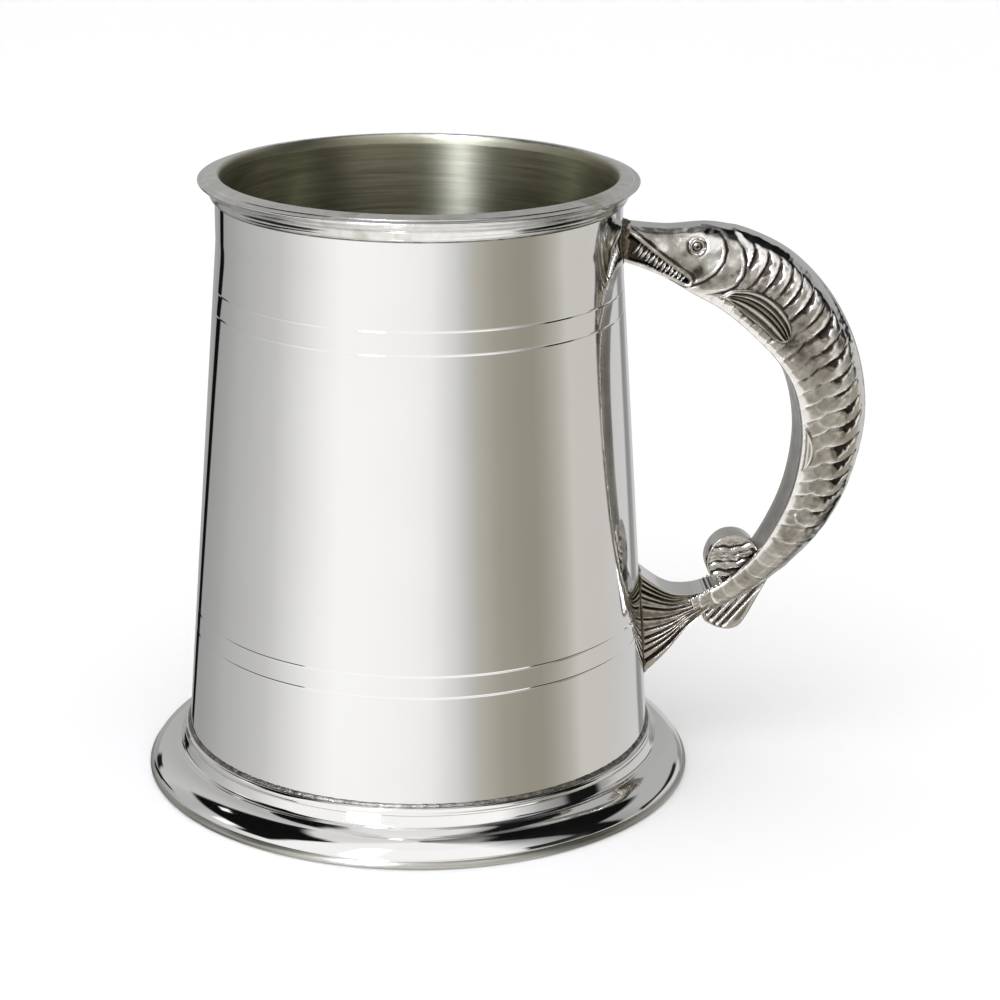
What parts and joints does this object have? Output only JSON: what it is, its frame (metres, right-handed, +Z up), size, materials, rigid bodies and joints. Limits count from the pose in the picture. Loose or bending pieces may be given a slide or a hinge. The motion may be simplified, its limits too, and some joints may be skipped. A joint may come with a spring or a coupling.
{
  "type": "drinking tankard",
  "caption": "Tapered pewter drinking tankard with a flared rim, turned lines, a hollow ogee foot and a cast handle in the shape of a pike.",
  "frame": {"origin": "centre, on the table, of the box round the whole tankard with its handle; the barrel's axis is parallel to Z and lies 16.85 mm from the origin towards -X", "axes": "+Z up along the barrel's axis; +X from the barrel towards the handle; the handle lies in the XZ plane"},
  "size_m": [0.1418, 0.108, 0.1196],
  "materials": {
    "polished_pewter": "mirror-polished pewter, bright and slightly warm",
    "satin_pewter": "satin pewter with fine turning marks",
    "antiqued_pewter": "cast pewter, darkened in the hollows and polished on the high places",
    "solder": "dull grey-brown soft solder"
  },
  "bodies": {
    "root": {"barrel": "polished_pewter", "rim": "polished_pewter", "rim_solder": "solder", "foot": "polished_pewter", "foot_solder": "solder", "floor_disc": "satin_pewter", "floor_solder": "solder", "pike_handle": "antiqued_pewter", "snout_solder": "solder", "tail_solder": "solder"}
  },
  "joints": []
}
